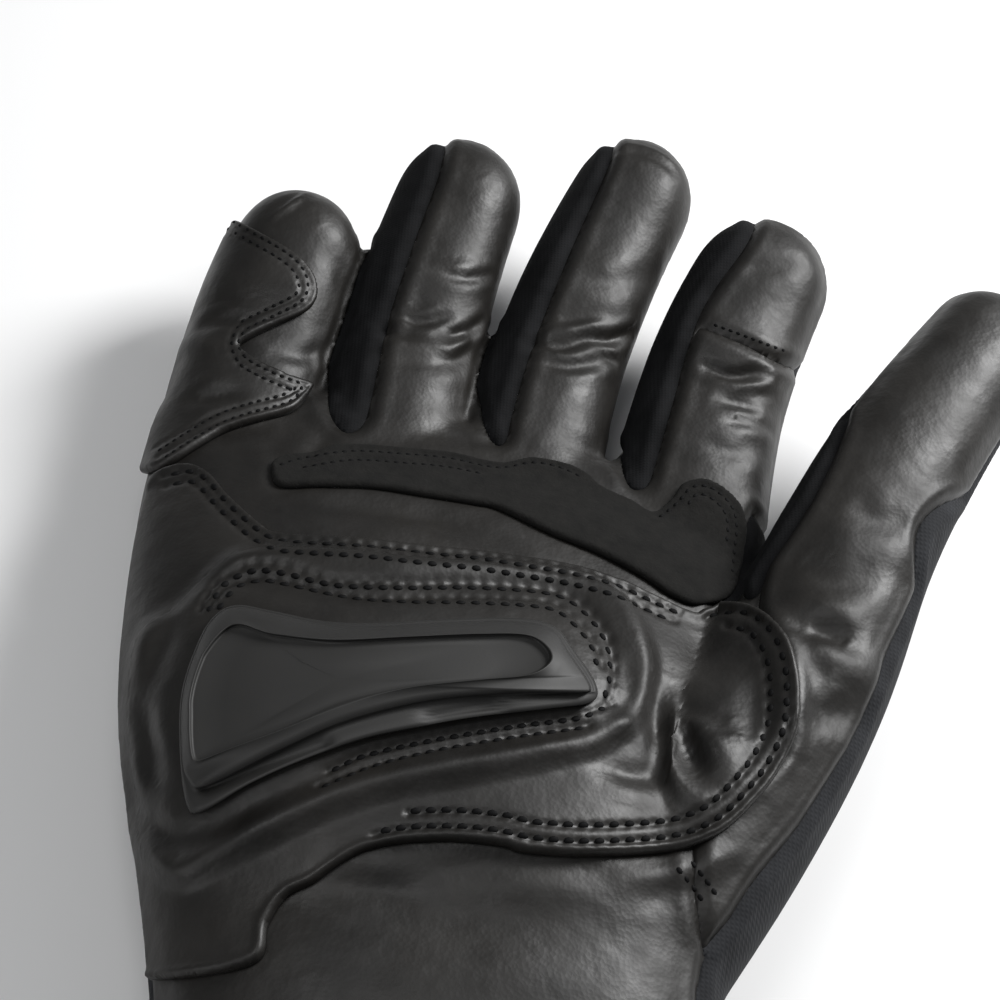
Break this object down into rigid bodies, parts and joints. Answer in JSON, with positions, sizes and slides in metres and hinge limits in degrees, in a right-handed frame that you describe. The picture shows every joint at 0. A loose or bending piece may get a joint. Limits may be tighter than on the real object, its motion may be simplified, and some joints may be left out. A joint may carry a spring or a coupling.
{
  "type": "motorcycle glove",
  "caption": "Right-hand leather motorcycle glove lying palm up, hollow, with textile finger strips, suede grip bar, padded palm layer, moulded slider and gauntlet cuff.",
  "frame": {"origin": "on the flat underside of the back of the hand, under the middle of the palm", "axes": "+Y towards the fingertips, +Z out of the palm, +X towards the thumb"},
  "size_m": [0.1664, 0.2752, 0.0518],
  "materials": {
    "leather": "satin",
    "binding": "satin",
    "touch_leather": "satin",
    "back_textile": "matte",
    "strip_textile": "matte",
    "suede": "matte",
    "slider": "satin"
  },
  "bodies": {
    "root": {"palm_leather": "leather", "thumb_leather": "leather", "little_finger_guard": "leather", "palm_overlay": "leather", "cuff": "leather", "cuff_binding": "binding", "index_touch_tip": "touch_leather", "back_panel": "back_textile", "fourchette_little_ring": "strip_textile", "fourchette_ring_middle": "strip_textile", "fourchette_middle_index": "strip_textile", "thumb_gusset": "strip_textile", "grip_bar": "suede", "slider_plate": "slider"}
  },
  "joints": []
}
